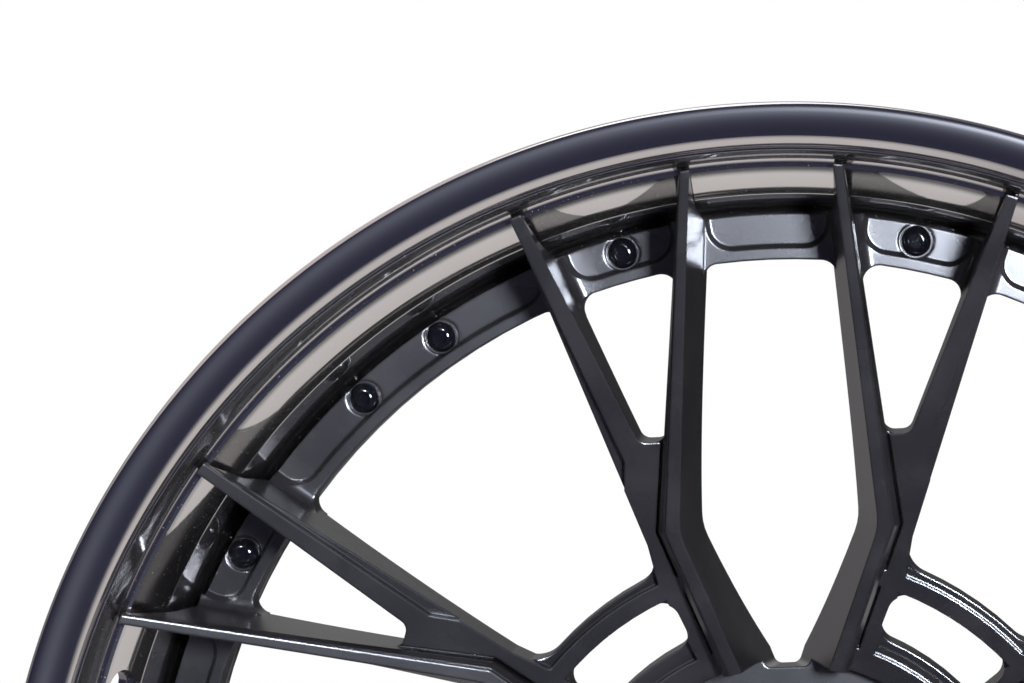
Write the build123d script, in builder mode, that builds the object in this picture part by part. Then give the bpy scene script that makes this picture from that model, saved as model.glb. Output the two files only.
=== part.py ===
"""Split rim wheel, 22 x 11 inch: outer lip, inner barrel, double-Y spoke disc, bolts, nuts and seal.

The axle is the Y axis. The street face looks along -Y, and one spoke unit points up along +Z.
A height is measured forward from the hub's mounting face, the plane Y = 0, so Y = -height.
"""
from build123d import *
import math
import os

os.makedirs("parts", exist_ok=True)

# Rim halves
BEAD_SEAT_R = 281.8
FLANGE_HEIGHT = 15.1
RIM_WIDTH = 279.4
FRONT_FLANGE_H = 117.0
FLANGE_EDGE = 3.5
FLANGE_CREST = 8.0
FLANGE_ROUND = 2.4
ROLL_MIDDLE = 7.6
ROLL_END = 4.6
ROLL_WIDTH = 12.6
BEVEL_WIDTH = 3.4
BEVEL_FALL = 3.1
HEEL_RADIUS = 6.5
LIP_WALL = 5.6
FLARE_WIDTH = 3.0
UPPER_LEDGE_H = 115.0
UPPER_LEDGE_WIDTH = 0.7
UPPER_LEDGE_FALL = 0.6
BEAD_SEAT_WIDTH = 22.0
BEAD_SEAT_FALL = 1.5
LOWER_LEDGE_WIDTH = 1.9
LOWER_LEDGE_FALL = 1.5
SHELF_WIDTH = 1.4
SHELF_FALL = 0.5
STEP_TOP_H = 88.0
STEP_WIDTH = 10.4
STEP_FALL = 20.0
STEP_HOLLOW = 1.0
STEP_BACKING = 3.0
STEP_ROUND = 0.8
WELL_TAPER = 4.8
WELL_WALL = 5.5
WELL_CORNER = 5.0
WELL_LENGTH = 60.0

# Bolted joint of the two halves and the disc
JOINT_H = 14.5
RIM_FLANGE = 7.5
BOLT_INSET = 9.4
BOLT_TO_WINDOW = 11.5
BOLT_ANGLES = (13.3, 31.5, -13.3, -31.5)
BOLT_D = 8.0
BOLT_CLEARANCE = 0.2
BOLT_HEAD_D = 12.0
BOLT_DOME_D = 10.4
BOLT_FLANGE = 1.6
BOLT_DOME = 3.4
BOLT_DOME_ROUND = 2.2
SOCKET_FLATS = 5.0
SOCKET_DEPTH = 2.8
SPOT_FACE_GAP = 0.7
SPOT_FACE_DEPTH = 0.7
SPOT_FACE_DRAFT = 40.0
NUT_FLATS = 13.0
NUT_HEIGHT = 7.0
NUT_CLEARANCE = 0.1
BOLT_TAIL = 1.5
BOLT_TIP_CHAMFER = 0.8
SEAL_GROOVE = 2.6
SEAL_GAP = 0.15

# Valve hole in the lip's step
VALVE_HOLE_D = 11.5
VALVE_CHAMFER = 1.4
VALVE_SINK_ANGLE = 90.0
VALVE_ANGLE = -72.0

# Disc ring
RING_GAP = 3.0
RING_FLOOR = 10.0
POCKET_DEPTH = 4.0
POCKET_WALL = 5.6
POCKET_TAPER = 20.0
POCKETS = ((0, 5.15), (13.4, 4.6), (-13.4, 4.6), (36, 14.7))
POCKET_CORNER = 8.5
WINDOW_CORNER = 6.5
RING_PLATE = 7.5
RING_FILLET = 5.0

# Spoke unit, one of five
UNITS = 5
TIP_GAP = 1.8
TIP_H = 97.0
LAND_SLOPE = 15.3
WEB_SLOPE = 19.7
TIP_CREASE_ANGLE = 5.6
TIP_LAND_ANGLE = 6.36
BRANCH_INNER_ANGLE = 19.3
BRANCH_OUTER_ANGLE = 20.28
BEND_AT = 133.5
BEND_HALF_WIDTH = 38.3
BEND_RADIUS = 25.0
LAND_WIDTH = 5.3
ARM_LEAN = 20.6
ARM_ROOT_AT = 40.0
V_BOTTOM_AT = 75.0
V_BOTTOM_RADIUS = 3.4
V_REAR_TIP_ANGLE = 4.4
V_REAR_BEND = 25.5
V_REAR_BOTTOM = 4.4
V_RING_HALF = 26.2
RIDGE_DROP = 1.2
RIDGE_HEIGHT = 3.8
RIDGE_TOP = 0.8
RIDGE_WIDTH = 2.8
RIDGE_TIP_WIDTH = 0.6
GROOVE_WIDTH = 1.4
FORK_AT = 169.0
FORK_WIDTH = 9.4
FORK_RADIUS = 4.4
BRANCH_KINK_R = 172.0
BRANCH_KINK_ANGLE = 19.7
LEDGE_END_AT = 150.5
NECK_R = 138.0
NECK_ANGLE = 21.8
LEDGE_DROP = 5.0
WEB_EDGE_ANGLE = 23.2

# Hub and bridges, from the axle outwards
HUB_BORE_D = 74.1
BORE_CHAMFER = 2.0
BOSS_WIDTH = 9.0
BOSS_H = 35.0
PAD_R = 82.0
RECESS_R = 78.5
RECESS_H = 15.0
LUG_CIRCLE_D = 120.0
LUG_HOLE_D = 15.5
LUG_SEAT_D = 25.0
LUG_SEAT_ANGLE = 60.0
INNER_BAND = 9.5
INNER_LEDGE = 6.5
SLOT_WIDTH = 20.5
SLOT_END_ANGLE = 22.3
SLOT_CORNER = 7.0
BRIDGE_BAND = 7.0
BRIDGE_LEDGE = 3.0
BRIDGE_FILLET = 11.0
SPOKE_ARCH_R = 165.0
SPOKE_ARCH_H = 29.0

# Worked-out sizes
UNIT_ANGLE = 360 / UNITS
FLANGE_R = BEAD_SEAT_R + FLANGE_HEIGHT
BORE_R = HUB_BORE_D / 2
REAR_FLANGE_H = FRONT_FLANGE_H - RIM_WIDTH
WALL_R = BEAD_SEAT_R - LIP_WALL
LOWER_LEDGE_R = WALL_R - LOWER_LEDGE_WIDTH
STEP_TOP_R = LOWER_LEDGE_R - SHELF_WIDTH
STEP_R = STEP_TOP_R - STEP_WIDTH
STEP_LENGTH = math.hypot(STEP_WIDTH, STEP_FALL)
SHELF_H = STEP_TOP_H + SHELF_FALL
WELL_R = STEP_R - WELL_TAPER
LIP_SEAT_H = JOINT_H + RIM_FLANGE
BARREL_SEAT_H = JOINT_H - RIM_FLANGE
BOLT_CIRCLE_R = WELL_R - BOLT_INSET
WINDOW_R = BOLT_CIRCLE_R - BOLT_TO_WINDOW
RING_R = WELL_R - RING_GAP
FLOOR_H = LIP_SEAT_H + RING_FLOOR
RING_H = FLOOR_H + POCKET_DEPTH
TIP_R = WALL_R - TIP_GAP
INNER_LEDGE_R = RECESS_R + INNER_BAND
SLOT_R = INNER_LEDGE_R + INNER_LEDGE
BRIDGE_BAND_R = SLOT_R + SLOT_WIDTH
BRIDGE_LEDGE_R = BRIDGE_BAND_R + BRIDGE_BAND
BRIDGE_R = BRIDGE_LEDGE_R + BRIDGE_LEDGE
LAND_FALL = math.tan(math.radians(LAND_SLOPE))
WEB_FALL = math.tan(math.radians(WEB_SLOPE))
LEAN_FALL = math.tan(math.radians(ARM_LEAN))
HALF_UNIT = UNIT_ANGLE / 2
POCKET_R = BOLT_CIRCLE_R - POCKET_WALL
RING_FILLET_INSET = RING_FILLET * (1 - math.sqrt(0.5))
CLEAR = 10.0
SINK = 0.3
SINK_ANGLE = 0.08
BOLT_SEAT_H = FLOOR_H - SPOT_FACE_DEPTH
BOLT_HOLE_R = BOLT_D / 2 + BOLT_CLEARANCE
UNIT_PLACES = [Location((0, 0, 0), (0, unit * UNIT_ANGLE, 0)) for unit in range(UNITS)]


def section(radius, height):
    """Point of a half section, drawn in the XY plane and turned about the axle."""
    return (radius, -height)


def plan(radius, angle):
    """Point of the street face, at an angle from the middle of a spoke unit."""
    return (radius * math.sin(math.radians(angle)), radius * math.cos(math.radians(angle)))


def bolt_places():
    """Plan points of the assembly bolts."""
    return [plan(BOLT_CIRCLE_R, unit * UNIT_ANGLE + angle) for unit in range(UNITS) for angle in BOLT_ANGLES]


def beyond(start, end, length):
    """Point on the line from start through end, a length past end."""
    run = math.dist(start, end)
    return (end[0] + (end[0] - start[0]) * length / run, end[1] + (end[1] - start[1]) * length / run)


def both_sides(points):
    """Outline that is the same on both sides of the unit's middle line."""
    return points + [(-x, y) for x, y in reversed(points)]


def on_line(start, end, distance):
    """Point of the line through start and end, at a distance along the unit's middle line."""
    share = (distance - start[1]) / (end[1] - start[1])
    return (start[0] + (end[0] - start[0]) * share, distance)


def web_height(radius):
    """Height of the web and branch faces."""
    return TIP_H - WEB_FALL * (TIP_R - radius)


def ledge_height(radius):
    """Height of the ledges beside the web."""
    return web_height(radius) - LEDGE_DROP


def land_height(distance):
    """Height of the main arms' lands, at a distance along the unit's middle line."""
    return TIP_H - LAND_FALL * (TIP_R - distance)


def land_plane(drop):
    """Plane of the main arms' lands, moved back along the axle."""
    return Plane(origin=(0, drop - TIP_H, TIP_R), x_dir=(1, 0, 0), z_dir=(0, -1, -LAND_FALL))


def on_land(point):
    """Plan point in the coordinates of a land plane."""
    return (point[0], (point[1] - TIP_R) / math.cos(math.radians(LAND_SLOPE)))


# Plane of the valve hole, square to the lip's step
valve_x, valve_z = plan(1, VALVE_ANGLE)
valve_r = STEP_TOP_R - STEP_WIDTH / 2
valve_plane = Plane(
    origin=(valve_r * valve_x, STEP_FALL / 2 - STEP_TOP_H, valve_r * valve_z),
    z_dir=(-STEP_FALL * valve_x, -STEP_WIDTH, -STEP_FALL * valve_z),
)

# Outer lip
with BuildPart() as outer_lip:
    with BuildSketch(Plane.XY) as lip_profile:
        with BuildLine():
            roll_start = section(FLANGE_R, FRONT_FLANGE_H + FLANGE_CREST)
            roll_middle = section(FLANGE_R - ROLL_WIDTH / 2, FRONT_FLANGE_H + ROLL_MIDDLE)
            roll_end = section(FLANGE_R - ROLL_WIDTH, FRONT_FLANGE_H + ROLL_END)
            ThreePointArc(roll_start, roll_middle, roll_end)
            step_top = section(STEP_TOP_R, STEP_TOP_H)
            step_end = section(STEP_R, STEP_TOP_H - STEP_FALL)
            step_hollow = section(
                STEP_TOP_R - STEP_WIDTH / 2 + STEP_HOLLOW * STEP_FALL / STEP_LENGTH,
                STEP_TOP_H - STEP_FALL / 2 - STEP_HOLLOW * STEP_WIDTH / STEP_LENGTH,
            )
            ThreePointArc(step_top, step_hollow, step_end)
            heel_low = section(BEAD_SEAT_R, FRONT_FLANGE_H - HEEL_RADIUS)
            heel_high = section(BEAD_SEAT_R + HEEL_RADIUS, FRONT_FLANGE_H)
            Polyline(
                roll_end,
                section(FLANGE_R - ROLL_WIDTH - BEVEL_WIDTH, FRONT_FLANGE_H + ROLL_END - BEVEL_FALL),
                section(WALL_R + FLARE_WIDTH + UPPER_LEDGE_WIDTH, UPPER_LEDGE_H + UPPER_LEDGE_FALL),
                section(WALL_R + FLARE_WIDTH, UPPER_LEDGE_H),
                section(WALL_R, SHELF_H + LOWER_LEDGE_FALL),
                section(LOWER_LEDGE_R, SHELF_H),
                step_top,
            )
            Polyline(
                step_end,
                section(WELL_R, LIP_SEAT_H),
                section(WINDOW_R, LIP_SEAT_H),
                section(WINDOW_R, JOINT_H),
                section(WELL_R + WELL_WALL - SEAL_GROOVE, JOINT_H),
                section(WELL_R + WELL_WALL, JOINT_H + SEAL_GROOVE),
                section(STEP_R + WELL_WALL, STEP_TOP_H - STEP_BACKING - STEP_FALL),
                section(BEAD_SEAT_R - BEAD_SEAT_FALL, STEP_TOP_H - STEP_BACKING),
                section(BEAD_SEAT_R - BEAD_SEAT_FALL, FRONT_FLANGE_H - HEEL_RADIUS - BEAD_SEAT_WIDTH),
                heel_low,
            )
            RadiusArc(heel_low, heel_high, HEEL_RADIUS)
            Polyline(
                heel_high,
                section(FLANGE_R - FLANGE_EDGE, FRONT_FLANGE_H),
                section(FLANGE_R, FRONT_FLANGE_H + FLANGE_EDGE),
                roll_start,
            )
        make_face()
        fillet(lip_profile.vertices().sort_by_distance(section(WELL_R, LIP_SEAT_H))[0], WELL_CORNER)
        fillet(lip_profile.vertices().sort_by_distance(step_end)[0], STEP_ROUND)
        fillet(lip_profile.vertices().sort_by_distance(roll_start)[0], FLANGE_ROUND)
    revolve(axis=Axis.Y)
    with BuildSketch(Plane.XZ):
        with Locations(bolt_places()):
            Circle(BOLT_HOLE_R)
    extrude(amount=FLOOR_H, mode=Mode.SUBTRACT)
    with Locations(valve_plane.offset(SINK - STEP_HOLLOW)):
        valve_sink_r = VALVE_HOLE_D / 2 + VALVE_CHAMFER + SINK
        CounterSinkHole(VALVE_HOLE_D / 2, valve_sink_r, counter_sink_angle=VALVE_SINK_ANGLE)
outer_lip.part.label = "outer_lip"
export_step(outer_lip.part, "parts/outer_lip.step")

# Inner barrel
with BuildPart() as inner_barrel:
    with BuildSketch(Plane.XY) as barrel_profile:
        with BuildLine():
            rear_roll_start = section(FLANGE_R, REAR_FLANGE_H - FLANGE_CREST)
            rear_roll_middle = section(FLANGE_R - ROLL_WIDTH / 2, REAR_FLANGE_H - ROLL_MIDDLE)
            rear_roll_end = section(FLANGE_R - ROLL_WIDTH, REAR_FLANGE_H - ROLL_END)
            ThreePointArc(rear_roll_start, rear_roll_middle, rear_roll_end)
            rear_heel_low = section(BEAD_SEAT_R, REAR_FLANGE_H + HEEL_RADIUS)
            rear_heel_high = section(BEAD_SEAT_R + HEEL_RADIUS, REAR_FLANGE_H)
            Polyline(
                rear_roll_end,
                section(WALL_R + FLARE_WIDTH, REAR_FLANGE_H + HEEL_RADIUS),
                section(WALL_R - BEAD_SEAT_FALL, REAR_FLANGE_H + HEEL_RADIUS + BEAD_SEAT_WIDTH),
                section(WELL_R, JOINT_H - WELL_LENGTH),
                section(WELL_R, BARREL_SEAT_H),
                section(WINDOW_R, BARREL_SEAT_H),
                section(WINDOW_R, JOINT_H),
                section(WELL_R + WELL_WALL - SEAL_GROOVE, JOINT_H),
                section(WELL_R + WELL_WALL, JOINT_H - SEAL_GROOVE),
                section(WELL_R + WELL_WALL, JOINT_H - WELL_LENGTH),
                section(BEAD_SEAT_R - BEAD_SEAT_FALL, REAR_FLANGE_H + HEEL_RADIUS + BEAD_SEAT_WIDTH),
                rear_heel_low,
            )
            RadiusArc(rear_heel_low, rear_heel_high, -HEEL_RADIUS)
            Polyline(
                rear_heel_high,
                section(FLANGE_R - FLANGE_EDGE, REAR_FLANGE_H),
                section(FLANGE_R, REAR_FLANGE_H - FLANGE_EDGE),
                rear_roll_start,
            )
        make_face()
        fillet(barrel_profile.vertices().sort_by_distance(rear_roll_start)[0], FLANGE_ROUND)
    revolve(axis=Axis.Y)
    with BuildSketch(Plane.XZ):
        with Locations(bolt_places()):
            Circle(BOLT_HOLE_R)
    extrude(amount=JOINT_H, mode=Mode.SUBTRACT)
inner_barrel.part.label = "inner_barrel"
export_step(inner_barrel.part, "parts/inner_barrel.step")

# Plan points of one spoke unit, on the side towards +X
tip_land = plan(TIP_R, TIP_LAND_ANGLE)
tip_crease = plan(TIP_R, TIP_CREASE_ANGLE)
bend_crease = (BEND_HALF_WIDTH, BEND_AT)
bend_land = (BEND_HALF_WIDTH + LAND_WIDTH, BEND_AT)
root_land = (bend_land[0] - LEAN_FALL * (BEND_AT - ARM_ROOT_AT), ARM_ROOT_AT)
bottom_crease = (BEND_HALF_WIDTH - LEAN_FALL * (BEND_AT - V_BOTTOM_AT), V_BOTTOM_AT)
tip_rear = plan(TIP_R, V_REAR_TIP_ANGLE)
bend_rear = (V_REAR_BEND, BEND_AT)
bottom_rear = (V_REAR_BOTTOM, V_BOTTOM_AT)
branch_outer = plan(TIP_R, BRANCH_OUTER_ANGLE)
branch_inner = plan(TIP_R, BRANCH_INNER_ANGLE)
neck = plan(NECK_R, NECK_ANGLE)
kink = plan(BRANCH_KINK_R, BRANCH_KINK_ANGLE)
ledge_end = on_line(branch_outer, neck, LEDGE_END_AT)


def arm_edge(tip_width, width):
    """Outer edge of a main arm from tip to root, moved outwards from the land's edge."""
    tip = (tip_land[0] + tip_width, tip_land[1])
    bend = (bend_land[0] + width, bend_land[1])
    root = (root_land[0] + width, root_land[1])
    return [beyond(bend, tip, CLEAR), bend, root]


arm_wall = arm_edge(RIDGE_TIP_WIDTH, RIDGE_WIDTH)
arm_core = arm_edge(RIDGE_TIP_WIDTH - SINK, RIDGE_WIDTH - SINK)
groove_edge = arm_edge(RIDGE_TIP_WIDTH + GROOVE_WIDTH, RIDGE_WIDTH + GROOVE_WIDTH)
fork_wall = on_line(arm_wall[0], arm_wall[1], FORK_AT)
fork_core = on_line(arm_core[0], arm_core[1], FORK_AT)
fork_groove = on_line(groove_edge[0], groove_edge[1], FORK_AT)
fork_outer = (fork_wall[0] + FORK_WIDTH, FORK_AT)
branch_core = (fork_outer[0] + 2 * SINK, FORK_AT)


def arm_outline(tip_width, width):
    """Outline of both main arms in the coordinates of a land plane."""
    return [on_land(point) for point in both_sides(arm_edge(tip_width, width))]


def v_section(rise):
    """V window between the arms: its section at the mounting face, or a rise above the lands."""
    corners = []
    for crease, rear in ((tip_crease, tip_rear), (bend_crease, bend_rear), (bottom_crease, bottom_rear)):
        share = 0 if rise is None else 1 + rise / land_height(crease[1])
        corners.append((rear[0] + (crease[0] - rear[0]) * share, rear[1] + (crease[1] - rear[1]) * share))
    return both_sides([beyond(corners[1], corners[0], CLEAR), corners[1], corners[2]])


# Space that hub and spokes may fill: hub turned with bore, boss and recess, clear of the lip, arched behind
with BuildPart() as disc_space:
    with BuildSketch(Plane.XY):
        with BuildLine():
            arch_start = section(PAD_R, 0)
            arch_end = section(RING_R - WELL_CORNER, LIP_SEAT_H + SINK)
            ThreePointArc(arch_start, section(SPOKE_ARCH_R, SPOKE_ARCH_H), arch_end)
            Polyline(
                arch_end,
                section(RING_R - SINK, LIP_SEAT_H + WELL_CORNER),
                section(RING_R - SINK, RING_H),
                section(STEP_R - TIP_GAP, STEP_TOP_H - STEP_FALL + RING_GAP),
                section(STEP_TOP_R - TIP_GAP, STEP_TOP_H + RING_GAP),
                section(TIP_R, STEP_TOP_H + RING_GAP),
                section(TIP_R, TIP_H + CLEAR),
                section(RECESS_R, TIP_H + CLEAR),
                section(RECESS_R, RECESS_H),
                section(BORE_R + BOSS_WIDTH, RECESS_H),
                section(BORE_R + BOSS_WIDTH, BOSS_H),
                section(BORE_R + BORE_CHAMFER, BOSS_H),
                section(BORE_R, BOSS_H - BORE_CHAMFER),
                section(BORE_R, BORE_CHAMFER),
                section(BORE_R + BORE_CHAMFER, 0),
                arch_start,
            )
        make_face()
    revolve(axis=Axis.Y)

# V window cutter: its sides lean back from the creases
with BuildPart() as v_window:
    with BuildSketch(land_plane(-CLEAR)) as v_front:
        with BuildLine():
            Polyline([on_land(point) for point in v_section(CLEAR)], close=True)
        make_face()
        fillet(v_front.vertices().group_by(Axis.Y)[1], BEND_RADIUS)
        fillet(v_front.vertices().group_by(Axis.Y)[0], V_BOTTOM_RADIUS)
    with BuildSketch(Plane.XZ.offset(-SINK)) as v_rear:
        with BuildLine():
            Polyline(v_section(None), close=True)
        make_face()
        fillet(v_rear.vertices().group_by(Axis.Y)[1], BEND_RADIUS)
        fillet(v_rear.vertices().group_by(Axis.Y)[0], V_BOTTOM_RADIUS)
    loft(ruled=True)

# Outlines on the street face, each drawn about its own middle line
with BuildSketch() as big_window:
    side_top = plan(TIP_R, HALF_UNIT - BRANCH_OUTER_ANGLE + SINK_ANGLE)
    side_neck = plan(NECK_R, HALF_UNIT - NECK_ANGLE + SINK_ANGLE)
    with BuildLine():
        Polyline(both_sides([side_top, beyond(side_top, side_neck, NECK_R - SLOT_R)]), close=True)
    make_face()
    Circle(WINDOW_R, mode=Mode.INTERSECT)
    Circle(BRIDGE_R, mode=Mode.SUBTRACT)
    fillet(big_window.vertices().group_by(SortBy.DISTANCE)[-1], WINDOW_CORNER)
    fillet(big_window.vertices().group_by(SortBy.DISTANCE)[0], BRIDGE_FILLET)

with BuildSketch() as slot:
    with BuildLine():
        Polyline(both_sides([
            plan(BRIDGE_R, HALF_UNIT - SLOT_END_ANGLE),
            plan(RECESS_R, HALF_UNIT - SLOT_END_ANGLE),
        ]), close=True)
    make_face()
    Circle(BRIDGE_BAND_R, mode=Mode.INTERSECT)
    Circle(SLOT_R, mode=Mode.SUBTRACT)
    fillet(slot.vertices(), SLOT_CORNER)

with BuildSketch() as fork_window:
    with BuildLine():
        Polyline([
            on_line(arm_core[0], arm_core[1], TIP_R),
            on_line(arm_core[0], arm_core[1], FORK_AT),
            branch_core,
            on_line(branch_core, branch_inner, TIP_R),
        ], close=True)
    make_face()
    Circle(WINDOW_R, mode=Mode.INTERSECT)
    fillet(fork_window.vertices().group_by(SortBy.DISTANCE)[-1], WINDOW_CORNER)
    mirror(about=Plane.YZ)

with BuildSketch() as v_ring_window:
    with BuildLine():
        Polyline(both_sides([(V_RING_HALF, TIP_R), (V_RING_HALF, FORK_AT)]), close=True)
    make_face()
    Circle(WINDOW_R, mode=Mode.INTERSECT)
    fillet(v_ring_window.vertices().group_by(SortBy.DISTANCE)[-1], WINDOW_CORNER)

with BuildSketch() as branch_face:
    with BuildLine():
        Polyline([
            beyond(kink, branch_outer, CLEAR),
            kink,
            ledge_end,
            neck,
            plan(BRIDGE_LEDGE_R, WEB_EDGE_ANGLE),
            plan(RECESS_R, WEB_EDGE_ANGLE),
            groove_edge[2],
            groove_edge[1],
            fork_groove,
            fork_outer,
            beyond(fork_outer, branch_inner, CLEAR),
        ], close=True)
    make_face()
    fillet(branch_face.vertices().sort_by_distance(fork_outer)[0], FORK_RADIUS)
    mirror(about=Plane.YZ)

with BuildSketch() as branch_base:
    with BuildLine():
        Polyline([
            beyond(neck, branch_outer, CLEAR),
            neck,
            plan(BRIDGE_BAND_R, WEB_EDGE_ANGLE),
            plan(RECESS_R, WEB_EDGE_ANGLE),
            root_land,
            bend_land,
            on_line(tip_land, bend_land, WINDOW_R - CLEAR),
            on_line(arm_core[0], arm_core[1], WINDOW_R - CLEAR),
            fork_core,
            fork_outer,
            beyond(fork_outer, branch_inner, CLEAR),
        ], close=True)
    make_face()
    fillet(branch_base.vertices().sort_by_distance(fork_outer)[0], FORK_RADIUS)
    fillet(branch_base.vertices().sort_by_distance(fork_core)[0], FORK_RADIUS)
    mirror(about=Plane.YZ)

# Upper level of the street face: branches, webs, bridges and the band round the hub
with BuildPart() as web_level:
    with BuildSketch(Plane.XZ):
        Circle(BRIDGE_LEDGE_R)
        Circle(BRIDGE_BAND_R, mode=Mode.SUBTRACT)
        Circle(INNER_LEDGE_R)
        with PolarLocations(0, UNITS):
            add(branch_face.sketch)
        with PolarLocations(0, UNITS, start_angle=HALF_UNIT):
            add(slot.sketch, mode=Mode.SUBTRACT)
        Circle(RECESS_R - CLEAR, mode=Mode.SUBTRACT)
    extrude(amount=TIP_H + CLEAR)
    with BuildSketch(Plane.XY):
        with BuildLine():
            Polyline([
                section(BORE_R, 0),
                section(BORE_R, web_height(BORE_R)),
                section(TIP_R + CLEAR, web_height(TIP_R + CLEAR)),
                section(TIP_R + CLEAR, 0),
            ], close=True)
        make_face()
    revolve(axis=Axis.Y, mode=Mode.INTERSECT)

# Lower level, which shows as a ledge beside the upper one
with BuildPart() as ledge_level:
    with BuildSketch(Plane.XZ):
        Circle(NECK_R)
        with PolarLocations(0, UNITS, start_angle=HALF_UNIT):
            add(big_window.sketch, mode=Mode.SUBTRACT)
        with PolarLocations(0, UNITS):
            add(branch_base.sketch)
        with PolarLocations(0, UNITS, start_angle=HALF_UNIT):
            add(slot.sketch, mode=Mode.SUBTRACT)
        Circle(RECESS_R - CLEAR, mode=Mode.SUBTRACT)
    extrude(amount=TIP_H + CLEAR)
    with BuildSketch(Plane.XY):
        with BuildLine():
            Polyline([
                section(BORE_R, 0),
                section(BORE_R, ledge_height(BORE_R)),
                section(TIP_R + CLEAR, ledge_height(TIP_R + CLEAR)),
                section(TIP_R + CLEAR, 0),
            ], close=True)
        make_face()
    revolve(axis=Axis.Y, mode=Mode.INTERSECT)

# Main arms with their stepped shoulders
with BuildPart() as main_arms:
    with BuildSketch(land_plane(0)):
        with BuildLine():
            Polyline(arm_outline(0, 0), close=True)
        make_face()
    extrude(amount=TIP_H + CLEAR, dir=(0, 1, 0))
    with BuildSketch(land_plane(RIDGE_DROP)):
        with BuildLine():
            Polyline(arm_outline(RIDGE_TIP_WIDTH / 2, RIDGE_TOP), close=True)
        make_face()
    with BuildSketch(land_plane(RIDGE_DROP + RIDGE_HEIGHT)) as shoulder:
        with BuildLine():
            Polyline(arm_outline(RIDGE_TIP_WIDTH, RIDGE_WIDTH), close=True)
        make_face()
    loft(ruled=True)
    add(shoulder.sketch)
    extrude(amount=TIP_H + CLEAR, dir=(0, 1, 0))


def pocket_outline(half_angle):
    """Floor of a bolt pocket, open towards the lip."""
    with BuildSketch() as pocket:
        with BuildLine():
            Polyline(both_sides([plan(RING_R + CLEAR, half_angle), plan(WINDOW_R, half_angle)]), close=True)
        make_face()
        Circle(POCKET_R, mode=Mode.SUBTRACT)
        fillet(pocket.vertices().group_by(SortBy.DISTANCE)[0], POCKET_CORNER)
    return pocket.sketch


pocket_outlines = [(middle, pocket_outline(half_angle)) for middle, half_angle in POCKETS]


def ring_fillet_planes(inner, outer):
    """Planes square to a spoke wall where it crosses the ring, on both sides of every unit."""
    planes = []
    x, z = on_line(inner, outer, POCKET_R * outer[1] / math.hypot(*outer))
    run_x = outer[0] - inner[0]
    run_z = outer[1] - inner[1]
    for side in (1, -1):
        across = (side * run_z, 0, -run_x)
        along = (-run_x, 0, -side * run_z)
        wall = Plane(origin=(side * x, -RING_H, z), x_dir=across, z_dir=along)
        planes.extend([Plane(place * wall.location) for place in UNIT_PLACES])
    return planes

ring_fillets = (
    (1, ring_fillet_planes(fork_wall, arm_wall[0])),
    (-1, ring_fillet_planes(fork_outer, branch_inner)),
    (1, ring_fillet_planes(neck, branch_outer)),
)

# Bolting ring with its windows and pockets
with BuildPart() as bolting_ring:
    with BuildSketch(Plane.XY):
        with BuildLine():
            Polyline([
                section(WINDOW_R - RING_PLATE, LIP_SEAT_H),
                section(WINDOW_R - RING_PLATE, RING_H),
                section(RING_R, RING_H),
                section(RING_R, LIP_SEAT_H + WELL_CORNER),
                section(RING_R - WELL_CORNER, LIP_SEAT_H),
            ], close=True)
        make_face()
    revolve(axis=Axis.Y)
    for away, planes in ring_fillets:
        with BuildSketch(*planes):
            with BuildLine():
                foot = (away * RING_FILLET, 0)
                head = (0, RING_FILLET)
                root = (-away * SINK, -SINK)
                Polyline(foot, (foot[0], -SINK), root, (root[0], RING_FILLET), head)
                ThreePointArc(head, (away * RING_FILLET_INSET, RING_FILLET_INSET), foot)
            make_face()
        extrude(amount=RING_R - POCKET_R - SINK, both=True)
    with BuildSketch(Plane.XZ):
        with PolarLocations(0, UNITS):
            add(fork_window.sketch)
            add(v_ring_window.sketch)
        with PolarLocations(0, UNITS, start_angle=HALF_UNIT):
            add(big_window.sketch)
    extrude(amount=TIP_H, mode=Mode.SUBTRACT)
    for middle, outline in pocket_outlines:
        with BuildSketch(Plane.XZ.offset(FLOOR_H)):
            with PolarLocations(0, UNITS, start_angle=middle):
                add(outline)
        extrude(amount=CLEAR, taper=-POCKET_TAPER, mode=Mode.SUBTRACT)

# Centre disc: hub, five spoke units and bolting ring as one forging
with BuildPart() as centre_disc:
    with BuildSketch(Plane.XZ):
        Circle(RECESS_R - SINK)
    extrude(amount=BOSS_H + CLEAR)
    add(ledge_level.part)
    add(web_level.part)
    with Locations(UNIT_PLACES):
        add(main_arms.part)
    with Locations(UNIT_PLACES):
        add(v_window.part, mode=Mode.SUBTRACT)
    add(disc_space.part, mode=Mode.INTERSECT)
    add(bolting_ring.part)
    with Locations(Plane.XZ.offset(RECESS_H)):
        with PolarLocations(LUG_CIRCLE_D / 2, UNITS, start_angle=90 + HALF_UNIT):
            CounterSinkHole(LUG_HOLE_D / 2, LUG_SEAT_D / 2, counter_sink_angle=LUG_SEAT_ANGLE)
    with BuildSketch(Plane.XZ):
        with Locations(bolt_places()):
            Circle(BOLT_HOLE_R)
    extrude(amount=FLOOR_H, mode=Mode.SUBTRACT)
    with BuildSketch(Plane.XZ.offset(BOLT_SEAT_H)) as spot_faces:
        with Locations(bolt_places()):
            Circle(BOLT_HEAD_D / 2 + SPOT_FACE_GAP)
    extrude(amount=SPOT_FACE_DEPTH + POCKET_DEPTH, mode=Mode.SUBTRACT)
    extrude(spot_faces.sketch, amount=SPOT_FACE_DEPTH + SINK, taper=-SPOT_FACE_DRAFT, mode=Mode.SUBTRACT)
centre_disc.part.label = "centre_disc"
export_step(centre_disc.part, "parts/centre_disc.step")

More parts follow.
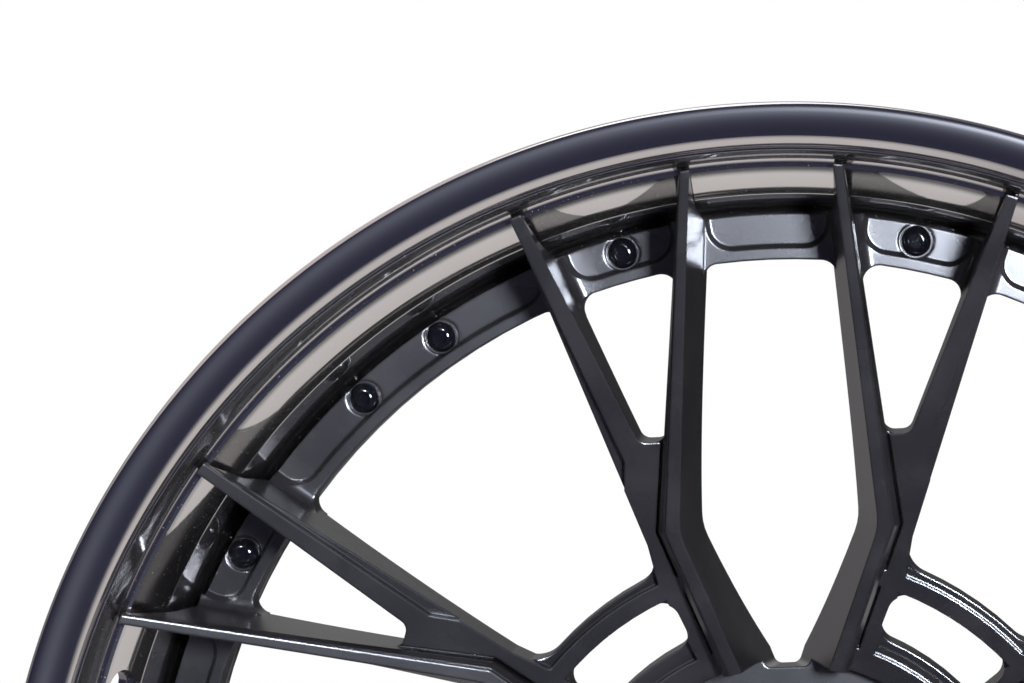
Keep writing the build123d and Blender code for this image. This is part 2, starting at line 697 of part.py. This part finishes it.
# Assembly bolts
with BuildPart() as bolt:
    with BuildSketch(Plane.XY) as bolt_profile:
        tail_h = BARREL_SEAT_H - NUT_HEIGHT - BOLT_TAIL
        top_h = BOLT_SEAT_H + BOLT_FLANGE + BOLT_DOME
        with BuildLine():
            Polyline([
                section(0, tail_h),
                section(BOLT_D / 2 - BOLT_TIP_CHAMFER, tail_h),
                section(BOLT_D / 2, tail_h + BOLT_TIP_CHAMFER),
                section(BOLT_D / 2, BOLT_SEAT_H),
                section(BOLT_HEAD_D / 2, BOLT_SEAT_H),
                section(BOLT_HEAD_D / 2, BOLT_SEAT_H + BOLT_FLANGE),
                section(BOLT_DOME_D / 2, BOLT_SEAT_H + BOLT_FLANGE),
                section(BOLT_DOME_D / 2, top_h),
                section(0, top_h),
            ], close=True)
        make_face()
        fillet(bolt_profile.vertices().sort_by_distance(section(BOLT_DOME_D / 2, top_h))[0], BOLT_DOME_ROUND)
    revolve(axis=Axis.Y)
    with BuildSketch(Plane.XZ.offset(top_h - SOCKET_DEPTH)):
        RegularPolygon(SOCKET_FLATS / 2, side_count=6, major_radius=False)
    extrude(amount=SOCKET_DEPTH, mode=Mode.SUBTRACT)

with BuildPart() as assembly_bolts:
    with Locations([(x, 0, z) for x, z in bolt_places()]):
        add(bolt.part)
assembly_bolts.part.label = "assembly_bolts"
export_step(assembly_bolts.part, "parts/assembly_bolts.step")

# Assembly nuts behind the barrel's flange
with BuildPart() as assembly_nuts:
    with BuildSketch(Plane.XZ.offset(BARREL_SEAT_H - NUT_HEIGHT)):
        with Locations(bolt_places()):
            RegularPolygon(NUT_FLATS / 2, side_count=6, major_radius=False)
            Circle(BOLT_D / 2 + NUT_CLEARANCE, mode=Mode.SUBTRACT)
    extrude(amount=NUT_HEIGHT)
assembly_nuts.part.label = "assembly_nuts"
export_step(assembly_nuts.part, "parts/assembly_nuts.step")

# Seal in the groove between the two rim halves
with BuildPart() as joint_seal:
    with BuildSketch(Plane.XY):
        seal_r = WELL_R + WELL_WALL
        with BuildLine():
            Polyline([
                section(seal_r, JOINT_H + SEAL_GROOVE - SEAL_GAP),
                section(seal_r, JOINT_H - SEAL_GROOVE + SEAL_GAP),
                section(seal_r - SEAL_GROOVE + SEAL_GAP, JOINT_H),
            ], close=True)
        make_face()
    revolve(axis=Axis.Y)
joint_seal.part.label = "joint_seal"
export_step(joint_seal.part, "parts/joint_seal.step")
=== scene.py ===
# %% [markdown]
# # Split rim wheel
#
# A multi-piece car wheel: a stepped lip in smoked chrome, a satin black spoke disc, a ring of gloss black
# assembly bolts, and a barrel behind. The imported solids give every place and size. This script dresses
# them: it spins the mirror-like lip finely enough for clean reflections, gives the bolts round domes, rounds
# the disc's edges in its coat, and gives each piece its finish.

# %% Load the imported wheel
import bmesh
import bpy
import math
from mathutils import Euler, Matrix, Vector


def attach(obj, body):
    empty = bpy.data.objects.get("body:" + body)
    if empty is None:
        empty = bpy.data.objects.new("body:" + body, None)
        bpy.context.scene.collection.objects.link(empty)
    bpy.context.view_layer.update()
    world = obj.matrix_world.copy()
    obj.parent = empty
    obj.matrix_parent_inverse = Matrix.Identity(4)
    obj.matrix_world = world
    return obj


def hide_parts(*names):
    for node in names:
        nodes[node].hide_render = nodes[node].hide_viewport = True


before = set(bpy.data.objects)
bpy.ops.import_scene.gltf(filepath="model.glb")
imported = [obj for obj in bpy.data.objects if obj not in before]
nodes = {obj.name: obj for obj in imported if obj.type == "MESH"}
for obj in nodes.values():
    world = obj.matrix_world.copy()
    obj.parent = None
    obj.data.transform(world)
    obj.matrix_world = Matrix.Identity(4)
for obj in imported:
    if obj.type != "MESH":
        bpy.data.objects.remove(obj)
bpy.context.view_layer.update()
MM = 0.001
print("nodes", sorted(nodes))

# %% [markdown]
# ## Camera and light
#
# The photo was taken with a long lens, from above the axle and slightly to the right of it, and it frames
# only the upper left quarter of the wheel. So the camera is placed in the wheel's own frame and turned by
# three angles, and the lens needs no shift.

# %% Camera
CAMERA_PLACE = Vector((44.1, -1593.3, 274.8)) * MM
CAMERA_TURN = (87.587, 2.470, 5.245)
CAMERA_LENS = 140.6
CAMERA_SENSOR = 36.0

camera_data = bpy.data.cameras.new("camera")
camera_data.lens = CAMERA_LENS
camera_data.sensor_width = CAMERA_SENSOR
camera = bpy.data.objects.new("camera", camera_data)
camera.location = CAMERA_PLACE
camera.rotation_euler = Euler([math.radians(angle) for angle in CAMERA_TURN])
bpy.context.collection.objects.link(camera)
bpy.context.scene.camera = camera
bpy.context.scene.view_settings.view_transform = "Standard"
print("camera at", [round(c, 4) for c in camera.location])

# %% [markdown]
# World and finishes are node trees. Two small classes keep them readable: one adds nodes, the other lets
# their outputs take part in sums like numbers.

# %% Shader helper


class Value:
    """A shader socket that takes part in sums like a number. Each operator adds one Math node."""

    def __init__(self, shader, socket):
        self.shader = shader
        self.socket = socket

    def math(self, operation, first, second):
        return self.shader.node("ShaderNodeMath", "Value", {"operation": operation}, {0: first, 1: second})

    def __add__(self, other):
        return self.math("ADD", self, other)

    def __radd__(self, other):
        return self.math("ADD", other, self)

    def __rsub__(self, other):
        return self.math("SUBTRACT", other, self)

    def __mul__(self, other):
        return self.math("MULTIPLY", self, other)

    def __rmul__(self, other):
        return self.math("MULTIPLY", other, self)

    def __pow__(self, other):
        return self.math("POWER", self, other)


class Shader:
    """A node tree of a material or the world, filled one node at a time."""

    def __init__(self, owner):
        owner.use_nodes = True
        self.tree = owner.node_tree
        self.tree.nodes.clear()

    def put(self, socket, value):
        if isinstance(value, Value):
            self.tree.links.new(value.socket, socket)
        else:
            socket.default_value = value

    def node(self, kind, output, settings, inputs):
        """Adds a node, sets it up, then fills its sockets with numbers or links, and returns one output."""
        node = self.tree.nodes.new(kind)
        for name, setting in settings.items():
            setattr(node, name, setting)
        for name, value in inputs.items():
            self.put(node.inputs[name], value)
        return Value(self, node.outputs[output]) if output else None

    def mix(self, factor, first, second):
        """A colour between two colours."""
        return self.node(
            "ShaderNodeMix", 2, {"data_type": "RGBA"}, {0: factor, 6: first, 7: second}
        )

    def soft_step(self, value, low, high):
        """0 below low, 1 above high, and a soft step between."""
        return self.node("ShaderNodeMapRange", "Result", {"interpolation_type": "SMOOTHSTEP"}, {
            "Value": value, "From Min": low, "From Max": high, "To Min": 0.0, "To Max": 1.0})


# %% [markdown]
# The background is white, so the world is white for camera and transmission rays. The lip is a mirror and
# shows what surrounds it, so glossy rays see a made-up studio by their direction: a dark blue-grey front,
# white walls at the sides and the top rear, a grey ceiling, a dimmer wall at the lower left, and a low rear
# that goes from grey at the left to near black at the right. All other rays see an even grey, which lights
# the black parts without washing them out.

# %% World
world = bpy.data.worlds.new("studio")
bpy.context.scene.world = world
studio = Shader(world)
ray = {
    name: studio.node("ShaderNodeLightPath", name, {}, {})
    for name in ("Is Camera Ray", "Is Glossy Ray", "Is Transmission Ray")
}
direction = studio.node("ShaderNodeTexCoord", "Generated", {}, {})
rightward = studio.node("ShaderNodeSeparateXYZ", "X", {}, {0: direction})
rearward = studio.node("ShaderNodeSeparateXYZ", "Y", {}, {0: direction})
upward = studio.node("ShaderNodeSeparateXYZ", "Z", {}, {0: direction})

WHITE = (1.0, 1.0, 1.0, 1.0)
ROOM = (0.2, 0.2, 0.205, 1.0)
STUDIO_FRONT = (0.042, 0.042, 0.085, 1.0)
LEFT_WALL = (1.0, 0.93, 0.94, 1.0)
LOW_LEFT = (0.3, 0.285, 0.3, 1.0)
CEILING = (0.2, 0.2, 0.24, 1.0)
REAR_LEFT = (0.30, 0.285, 0.295, 1.0)
REAR_RIGHT = (0.018, 0.017, 0.019, 1.0)
LEFT_WALL_REACH = 0.4

leftward = 1.0 - studio.soft_step(rightward, -0.6, -0.15)
high = studio.soft_step(upward, 0.25, 0.6)
upper_left = leftward * high
overhead = studio.soft_step(upward, 0.3, 0.65) * studio.soft_step(rightward, -0.45, -0.05)
upper_walls = studio.mix(overhead, studio.mix(upper_left, WHITE, LEFT_WALL), CEILING)
walls = studio.mix(leftward * (1.0 - high), upper_walls, LOW_LEFT)
beside = studio.soft_step(rearward + LEFT_WALL_REACH * upper_left, -0.27, -0.13)
sides = studio.mix(beside, STUDIO_FRONT, walls)
low_rear = studio.mix(studio.soft_step(rightward, -0.5, 0.25), REAR_LEFT, REAR_RIGHT)
rear_wall = studio.mix(studio.soft_step(upward, 0.12, 0.42), low_rear, WHITE)
mirrored = studio.mix(studio.soft_step(rearward, 0.66, 0.8), sides, rear_wall)
plain_rays = studio.mix(ray["Is Glossy Ray"], ROOM, mirrored)
seen = studio.mix(ray["Is Camera Ray"] + ray["Is Transmission Ray"], plain_rays, WHITE)
background = studio.node("ShaderNodeBackground", "Background", {}, {"Color": seen, "Strength": 1.0})
studio.node("ShaderNodeOutputWorld", None, {}, {"Surface": background})
print("world nodes", len(world.node_tree.nodes))

# %% [markdown]
# One lamp stands in front, right of the camera, so that flat black faces at the right of the wheel mirror it
# and those at the left don't. It is split in two at one place: the key shows only in reflections, and the
# fill, about a third as strong, lights only surfaces, near the level at which a colour renders as written.
# A broad, weak lamp hangs above.

# %% Lamps


def softbox(name, place, target, size, power, colour):
    """A rectangular studio light, aimed at a point of the wheel."""
    data = bpy.data.lights.new(name, "AREA")
    data.shape = "RECTANGLE"
    data.size, data.size_y = size
    data.energy = power
    data.color = colour
    light = bpy.data.objects.new(name, data)
    light.location = place
    aim = Vector(target) - Vector(place)
    light.rotation_euler = aim.to_track_quat("-Z", "Y").to_euler()
    bpy.context.collection.objects.link(light)
    return light


KEY_PLACE = (0.43, -1.6, 0.36)
KEY_TARGET = (0, 0, 0.15)
KEY_SIZE = (0.22, 0.22)
KEY_POWER = 78.0
FILL_POWER = 27.0
TOP_PLACE = (-0.2, 0.1, 2.2)
TOP_TARGET = (0, 0, 0)
TOP_SIZE = (1.6, 1.0)
TOP_POWER = 12.0
COOL = (0.80, 0.86, 1.0)
PALE_COOL = (0.95, 0.97, 1.0)

key = softbox("key", KEY_PLACE, KEY_TARGET, KEY_SIZE, KEY_POWER, COOL)
key.visible_diffuse = False
fill = softbox("fill", KEY_PLACE, KEY_TARGET, KEY_SIZE, FILL_POWER, COOL)
fill.visible_glossy = False
top = softbox("top", TOP_PLACE, TOP_TARGET, TOP_SIZE, TOP_POWER, PALE_COOL)
print("lamps", [lamp.name for lamp in (key, fill, top)])

# %% [markdown]
# ## Shared modelling steps
#
# A wheel is lathe work, so most new pieces are a half section spun about an axis. Corners of the section
# are bevelled while it is still a line of vertices: a rounded edge then costs a few vertices, and the spin
# carries it all the way round.

# %% Turned pieces


def arc_points(start, middle, end, count):
    """Points of the arc through three points, both ends included."""
    (ax, ay), (bx, by), (cx, cy) = start, middle, end
    turn = 2 * (ax * (by - cy) + bx * (cy - ay) + cx * (ay - by))
    a2, b2, c2 = ax * ax + ay * ay, bx * bx + by * by, cx * cx + cy * cy
    x = (a2 * (by - cy) + b2 * (cy - ay) + c2 * (ay - by)) / turn
    y = (a2 * (cx - bx) + b2 * (ax - cx) + c2 * (bx - ax)) / turn
    first = math.atan2(ay - y, ax - x)
    sweep = (math.atan2(cy - y, cx - x) - first + math.pi) % (2 * math.pi) - math.pi
    radius = math.hypot(ax - x, ay - y)
    angles = [first + sweep * step / count for step in range(count + 1)]
    return [(x + radius * math.cos(angle), y + radius * math.sin(angle)) for angle in angles]


def turned(points, rounds, steps):
    """A closed half section of (radius, height) points in mm, its corners rounded, spun about the axle."""
    form = bmesh.new()
    corners = [form.verts.new((radius * MM, -height * MM, 0)) for radius, height in points]
    for corner, following in zip(corners, corners[1:] + corners[:1]):
        form.edges.new((corner, following))
    for index, (offset, segments) in rounds.items():
        bmesh.ops.bevel(form, geom=[corners[index]], offset=offset * MM, offset_type="OFFSET",
                        segments=segments, profile=0.5, affect="VERTICES", material=-1)
    bmesh.ops.spin(form, geom=form.verts[:] + form.edges[:], cent=(0, 0, 0), axis=(0, 1, 0),
                   angle=2 * math.pi, steps=steps, use_merge=True)
    bmesh.ops.remove_doubles(form, verts=form.verts, dist=1e-6)
    bmesh.ops.recalc_face_normals(form, faces=form.faces)
    return form


# %% Dressing and carving


def dress(piece, material, sharp):
    """Gives a piece its material, and smooth shading apart from edges past an angle."""
    piece.data.materials.clear()
    piece.data.materials.append(material)
    piece.data.shade_smooth()
    piece.data.set_sharp_from_angle(angle=math.radians(sharp))


def finished(name, form, material, sharp):
    """Makes a bmesh an object of the wheel with its finish."""
    mesh = bpy.data.meshes.new(name)
    form.to_mesh(mesh)
    form.free()
    piece = bpy.data.objects.new(name, mesh)
    bpy.context.collection.objects.link(piece)
    dress(piece, material, sharp)
    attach(piece, "root")
    print(name, "faces", len(piece.data.polygons))
    return piece


def carve(piece, form):
    """Cuts a bmesh out of a piece and leaves nothing live behind."""
    mesh = bpy.data.meshes.new("cutter")
    form.to_mesh(mesh)
    form.free()
    cutter = bpy.data.objects.new("cutter", mesh)
    bpy.context.collection.objects.link(cutter)
    cut = piece.modifiers.new("cut", "BOOLEAN")
    cut.operation = "DIFFERENCE"
    cut.solver = "EXACT"
    cut.object = cutter
    view = bpy.context.evaluated_depsgraph_get()
    carved = bpy.data.meshes.new_from_object(piece.evaluated_get(view))
    piece.modifiers.clear()
    piece.data = carved
    bpy.data.objects.remove(cutter)
    bpy.data.meshes.remove(mesh)


# %% [markdown]
# ## Finishes
#
# Each finish is built from the wheel's own coordinates, so it stays on the metal from every side. Turned
# metal carries very fine rings about the axle: a noise that is read only by distance from the axle and by
# height gives rings of random strength. Handling leaves a few specks of dust, and a powder coat has a fine
# grain that breaks up its highlights.

# %% Patterns of the metal


class Pattern:
    """The coordinates of a piece and the patterns that several finishes share."""

    def __init__(self, shader):
        self.shader = shader
        self.place = shader.node("ShaderNodeTexCoord", "Object", {}, {})
        self.x = shader.node("ShaderNodeSeparateXYZ", "X", {}, {0: self.place})
        self.y = shader.node("ShaderNodeSeparateXYZ", "Y", {}, {0: self.place})
        self.z = shader.node("ShaderNodeSeparateXYZ", "Z", {}, {0: self.place})
        self.radius = (self.x * self.x + self.z * self.z) ** 0.5

    def noise(self, scale, detail):
        """Cloudy noise, about 1/scale metres wide."""
        return self.shader.node("ShaderNodeTexNoise", "Fac", {}, {
            "Vector": self.place, "Scale": scale, "Detail": detail})

    def rings(self, scale):
        """Turning rings of random strength about the axle."""
        across = self.shader.node("ShaderNodeCombineXYZ", "Vector", {}, {0: self.radius, 1: self.y})
        return self.shader.node("ShaderNodeTexNoise", "Fac", {}, {
            "Vector": across, "Scale": scale, "Detail": 2.0})

    def bump(self, height, strength, distance):
        return self.shader.node("ShaderNodeBump", "Normal", {}, {
            "Height": height, "Strength": strength, "Distance": distance})


def finish(name, inputs_of):
    """A material whose surface inputs come from a function of the piece's patterns."""
    material = bpy.data.materials.new(name)
    shader = Shader(material)
    surface = shader.node("ShaderNodeBsdfPrincipled", "BSDF", {}, inputs_of(shader, Pattern(shader)))
    shader.node("ShaderNodeOutputMaterial", None, {}, {"Surface": surface})
    print(name, "nodes", len(material.node_tree.nodes))
    return material


# %% Smoked chrome of the lip
SMOKE = (0.475, 0.443, 0.43, 1.0)
SMOKE_DEEP = (0.42, 0.39, 0.38, 1.0)
DUST = (0.26, 0.25, 0.245, 1.0)
DUST_FROM_R = 0.2792
DUST_TO_R = 0.2802


def smoked_chrome_inputs(shader, pattern):
    rings = pattern.rings(1400.0)
    inside = 1.0 - shader.soft_step(pattern.radius, DUST_FROM_R, DUST_TO_R)
    specks = shader.soft_step(pattern.noise(1500.0, 1.0), 0.73, 0.80) * inside
    tone = shader.mix(pattern.noise(14.0, 2.0), SMOKE_DEEP, SMOKE)
    return {
        "Base Color": shader.mix(specks, tone, DUST),
        "Metallic": 1.0 - specks,
        "Roughness": 0.02 + 0.045 * rings + 0.5 * specks,
        "Coat Weight": 0.75,
        "Coat Roughness": 0.36,
        "Normal": pattern.bump(rings, 0.03, 0.0002),
    }


smoked_chrome = finish("smoked_chrome", smoked_chrome_inputs)

# %% [markdown]
# The disc's edges are milled crisp and then coated, which softens them. A bevel node turns the normal near
# each edge, so edges catch a thin line of light.

# %% Satin black powder coat of the disc
COAT = (0.0203, 0.0186, 0.0194, 1.0)
COAT_WORN = (0.0348, 0.0319, 0.0325, 1.0)
EDGE_ROUND = 1.3


def satin_black_inputs(shader, pattern):
    grain = pattern.noise(2600.0, 2.0)
    clouds = pattern.noise(35.0, 3.0)
    rounded = shader.node("ShaderNodeBevel", "Normal", {"samples": 8}, {"Radius": EDGE_ROUND * MM})
    return {
        "Base Color": shader.mix(shader.soft_step(clouds, 0.35, 0.75), COAT, COAT_WORN),
        "Roughness": 0.2 + 0.05 * grain + 0.03 * clouds,
        "IOR": 1.7,
        "Normal": shader.node("ShaderNodeBump", "Normal", {}, {
            "Height": grain, "Strength": 0.12, "Distance": 0.0002, "Normal": rounded}),
    }


satin_black = finish("satin_black", satin_black_inputs)

# %% Gloss black of the bolts, coat of the barrel, zinc and sealant
GLOSS = (0.006, 0.006, 0.008, 1.0)
GLOSS_DUST = (0.12, 0.12, 0.12, 1.0)
BARREL = (0.018, 0.018, 0.02, 1.0)
BARREL_PALE = (0.03, 0.03, 0.033, 1.0)
ZINC_DULL = (0.52, 0.52, 0.54, 1.0)
ZINC_BRIGHT = (0.68, 0.68, 0.70, 1.0)
SEALANT_DARK = (0.012, 0.012, 0.013, 1.0)
SEALANT_PALE = (0.03, 0.03, 0.031, 1.0)


def gloss_black_inputs(shader, pattern):
    smudges = pattern.noise(700.0, 3.0)
    specks = shader.soft_step(pattern.noise(2200.0, 1.0), 0.74, 0.8)
    return {
        "Base Color": shader.mix(specks, GLOSS, GLOSS_DUST),
        "Roughness": 0.05 + 0.08 * smudges + 0.3 * specks,
        "Coat Weight": 0.6,
        "Coat Roughness": 0.04,
    }


def barrel_black_inputs(shader, pattern):
    rings = pattern.rings(500.0)
    return {
        "Base Color": shader.mix(rings, BARREL, BARREL_PALE),
        "Roughness": 0.32 + 0.16 * rings + 0.06 * pattern.noise(40.0, 3.0),
        "Normal": pattern.bump(rings, 0.08, 0.0003),
    }


def zinc_inputs(shader, pattern):
    bloom = pattern.noise(320.0, 3.0)
    return {
        "Base Color": shader.mix(bloom, ZINC_DULL, ZINC_BRIGHT),
        "Metallic": 1.0,
        "Roughness": 0.26 + 0.2 * bloom,
        "Normal": pattern.bump(pattern.noise(1500.0, 2.0), 0.1, 0.0002),
    }


def sealant_inputs(shader, pattern):
    ripple = pattern.noise(260.0, 3.0)
    return {
        "Base Color": shader.mix(ripple, SEALANT_DARK, SEALANT_PALE),
        "Roughness": 0.55 + 0.2 * ripple,
        "Normal": pattern.bump(ripple, 0.4, 0.0006),
    }


gloss_black = finish("gloss_black", gloss_black_inputs)
barrel_black = finish("barrel_black", barrel_black_inputs)
zinc = finish("zinc", zinc_inputs)
sealant = finish("sealant", sealant_inputs)

# %% [markdown]
# ## Outer lip
#
# The lip is the mirror of the wheel, so its reflections show every facet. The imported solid's triangles are
# right in place but too coarse for that. Its half section is therefore spun again in small steps, with the
# crisp edges rounded, and the valve hole is cut through the hollow step. Three places differ from the packed
# solid: the flare under the bevel is 0.4 mm further out, the bead heel on the tyre side is a hollow fillet
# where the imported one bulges, and the bolting flange, which disc and barrel hide, has no bolt holes.
# Points are (radius, height) in mm: the section runs from the flange's outer edge inwards over the street
# side, down to the bolting flange, and back outwards under the tyre.

# %% Lip section
FLANGE_R = 296.9
BORE_R = 236.8
WELL_R = 257.7
RING_SEAT_H = 22.0
JOINT_H = 14.5
OUTER_ROUND = (2.4, 8)
WELL_ROUND = (5.0, 6)
STEP_ROUND = (0.5, 4)
FINE_ROUND = (0.2, 3)
TYRE_SIDE_ROUND = (0.4, 2)
LIP_STEPS = 360
LIP_SHARP = 24.0

ROLL = arc_points((FLANGE_R, 125.0), (290.6, 124.6), (284.3, 121.6), 24)
STEP = arc_points((272.9, 88.0), (268.587, 77.539), (262.5, 68.0), 24)
HEEL = arc_points((281.8, 110.5), (283.704, 115.096), (288.3, 117.0), 8)
LEDGES = [(280.9, 118.5), (280.3, 115.6), (279.2, 115.0), (276.2, 90.0), (274.3, 88.5)]
TYRE_SIDE = [(BORE_R, RING_SEAT_H), (BORE_R, JOINT_H), (260.6, JOINT_H), (263.2, 17.1), (268.0, 65.0),
             (280.3, 85.0), (280.3, 88.5)]
FLANGE_BACK = [(293.4, 117.0), (FLANGE_R, 120.5)]

lip_points = [ROLL[0]] + ROLL[6:]
lip_rounds = {0: OUTER_ROUND}


def add_corners(corners, rounding):
    """Puts corners at the section's end, each with a rounding."""
    for corner in corners:
        lip_rounds[len(lip_points)] = rounding
        lip_points.append(corner)


add_corners(LEDGES, FINE_ROUND)
lip_points += STEP[:-1:2]
add_corners([STEP[-1]], STEP_ROUND)
add_corners([(WELL_R, RING_SEAT_H)], WELL_ROUND)
add_corners(TYRE_SIDE, TYRE_SIDE_ROUND)
lip_points += HEEL
add_corners(FLANGE_BACK, TYRE_SIDE_ROUND)
lip = finished("lip", turned(lip_points, lip_rounds, LIP_STEPS), smoked_chrome, LIP_SHARP)

# %% Valve hole
VALVE_ANGLE = math.radians(-72.0)
VALVE_R = 5.75
VALVE_DEPTH = 14.0
VALVE_EDGE = (VALVE_R, 2.4)
VALVE_EDGE_ROUND = (0.15, 2)
VALVE_STEPS = 64
CHAMFER_R = 8.65
CUTTER_TOP = -6.0
STEP_MIDDLE_R = 267.7
STEP_MIDDLE_H = 78.0
STEP_WIDTH = 10.4
STEP_FALL = 20.0

outwards = Vector((math.sin(VALVE_ANGLE), 0, math.cos(VALVE_ANGLE)))
forwards = Vector((0, -1, 0))
valve_axis = (forwards * STEP_WIDTH - outwards * STEP_FALL).normalized()
valve_place = (outwards * STEP_MIDDLE_R + forwards * STEP_MIDDLE_H) * MM
valve_points = [(0.0, VALVE_DEPTH), (VALVE_R, VALVE_DEPTH), VALVE_EDGE, (CHAMFER_R, -0.5),
                (CHAMFER_R, CUTTER_TOP), (0.0, CUTTER_TOP)]
valve_cut = turned(valve_points, {valve_points.index(VALVE_EDGE): VALVE_EDGE_ROUND}, VALVE_STEPS)
turn = valve_axis.to_track_quat("Y", "Z").to_matrix().to_4x4()
bmesh.ops.transform(valve_cut, matrix=Matrix.Translation(valve_place) @ turn, verts=valve_cut.verts)
carve(lip, valve_cut)
dress(lip, smoked_chrome, LIP_SHARP)
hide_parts("outer_lip")
print("lip triangles", sum(len(face.vertices) - 2 for face in lip.data.polygons))

# %% [markdown]
# ## Assembly bolts
#
# Twenty gloss black cap screws hold disc, lip and barrel together. In the picture each is a small dark dome
# with a few glints, so the dome has to be truly round. One bolt is spun, its hexagon socket is cut out, and
# the finished form is copied round the bolt circle.

# %% One bolt
BOLT_CIRCLE = 248.3
BOLT_ANGLES = [unit * 72 + angle for unit in range(5) for angle in (13.3, 31.5, -13.3, -31.5)]
SEAT = 31.3
TAIL = -1.5
SHANK_R = 4.0
TAIL_CHAMFER = 0.8
HEAD_R = 6.0
HEAD_TOP = SEAT + 5.0
HEAD_EDGE = (HEAD_R, SEAT)
HEAD_EDGE_ROUND = (0.2, 2)
SOCKET_R = 2.89
SOCKET_SPAN = 5.6
BOLT_STEPS = 48
BOLT_SHARP = 40.0

DOME = arc_points((HEAD_R, SEAT + 1.2), (4.9, SEAT + 3.7), (2.9, HEAD_TOP), 12)
bolt_points = [(0.0, TAIL), (SHANK_R - TAIL_CHAMFER, TAIL), (SHANK_R, TAIL + TAIL_CHAMFER), (SHANK_R, SEAT),
               HEAD_EDGE] + DOME + [(0.0, HEAD_TOP)]
bolt_form = turned(bolt_points, {bolt_points.index(HEAD_EDGE): HEAD_EDGE_ROUND}, BOLT_STEPS)
bolts = finished("bolts", bolt_form, gloss_black, BOLT_SHARP)
socket = bmesh.new()
bmesh.ops.create_cone(socket, cap_ends=True, segments=6, radius1=SOCKET_R * MM, radius2=SOCKET_R * MM,
                      depth=SOCKET_SPAN * MM)
upright = Matrix.Translation((0, -HEAD_TOP * MM, 0)) @ Matrix.Rotation(math.radians(90), 4, "X")
bmesh.ops.transform(socket, matrix=upright, verts=socket.verts)
carve(bolts, socket)
print("bolt faces", len(bolts.data.polygons))

# %% Twenty bolts


def vertices_of(items):
    return [item for item in items if isinstance(item, bmesh.types.BMVert)]


form = bmesh.new()
form.from_mesh(bolts.data)
single = form.verts[:] + form.edges[:] + form.faces[:]
for angle in BOLT_ANGLES:
    copy = bmesh.ops.duplicate(form, geom=single)["geom"]
    place = Matrix.Rotation(math.radians(angle), 4, "Y") @ Matrix.Translation((0, 0, BOLT_CIRCLE * MM))
    bmesh.ops.transform(form, matrix=place, verts=vertices_of(copy))
bmesh.ops.delete(form, geom=vertices_of(single), context="VERTS")
form.to_mesh(bolts.data)
form.free()
dress(bolts, gloss_black, BOLT_SHARP)
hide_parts("assembly_bolts")
print("bolts", len(BOLT_ANGLES), "faces", len(bolts.data.polygons))

# %% [markdown]
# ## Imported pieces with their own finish
#
# The disc, barrel, nuts and seal keep their solids: flat milled faces and turned walls need no finer mesh.

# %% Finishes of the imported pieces
PACKED_FINISHES = {
    "centre_disc": satin_black,
    "inner_barrel": barrel_black,
    "assembly_nuts": zinc,
    "joint_seal": sealant,
}
for name, material in PACKED_FINISHES.items():
    mesh = nodes[name].data
    mesh.materials.clear()
    mesh.materials.append(material)
    print(name, "triangles", len(mesh.polygons))

# %% [markdown]
# ## Floor
#
# A pale round floor under the wheel takes its shadow. It stays small, so the camera's low view past the
# wheel still ends in the white background. It is hidden from mirrors, which see the studio instead.

# %% Floor disc
FLOOR_Z = -0.2972
FLOOR_R = 1.5
FLOOR_TONE = (0.80, 0.80, 0.80, 1.0)
FLOOR_PALE = (0.86, 0.86, 0.86, 1.0)

floor_form = bmesh.new()
bmesh.ops.create_circle(floor_form, cap_ends=True, segments=96, radius=FLOOR_R)
bmesh.ops.translate(floor_form, vec=(0, 0, FLOOR_Z), verts=floor_form.verts)
floor_mesh = bpy.data.meshes.new("floor")
floor_form.to_mesh(floor_mesh)
floor_form.free()
floor = bpy.data.objects.new("floor", floor_mesh)
bpy.context.collection.objects.link(floor)


def floor_inputs(shader, pattern):
    return {
        "Base Color": shader.mix(pattern.noise(6.0, 3.0), FLOOR_TONE, FLOOR_PALE),
        "Roughness": 0.7 + 0.1 * pattern.noise(30.0, 2.0),
    }


floor_mesh.materials.append(finish("pale_floor", floor_inputs))
floor.visible_glossy = False
print("floor at", FLOOR_Z)
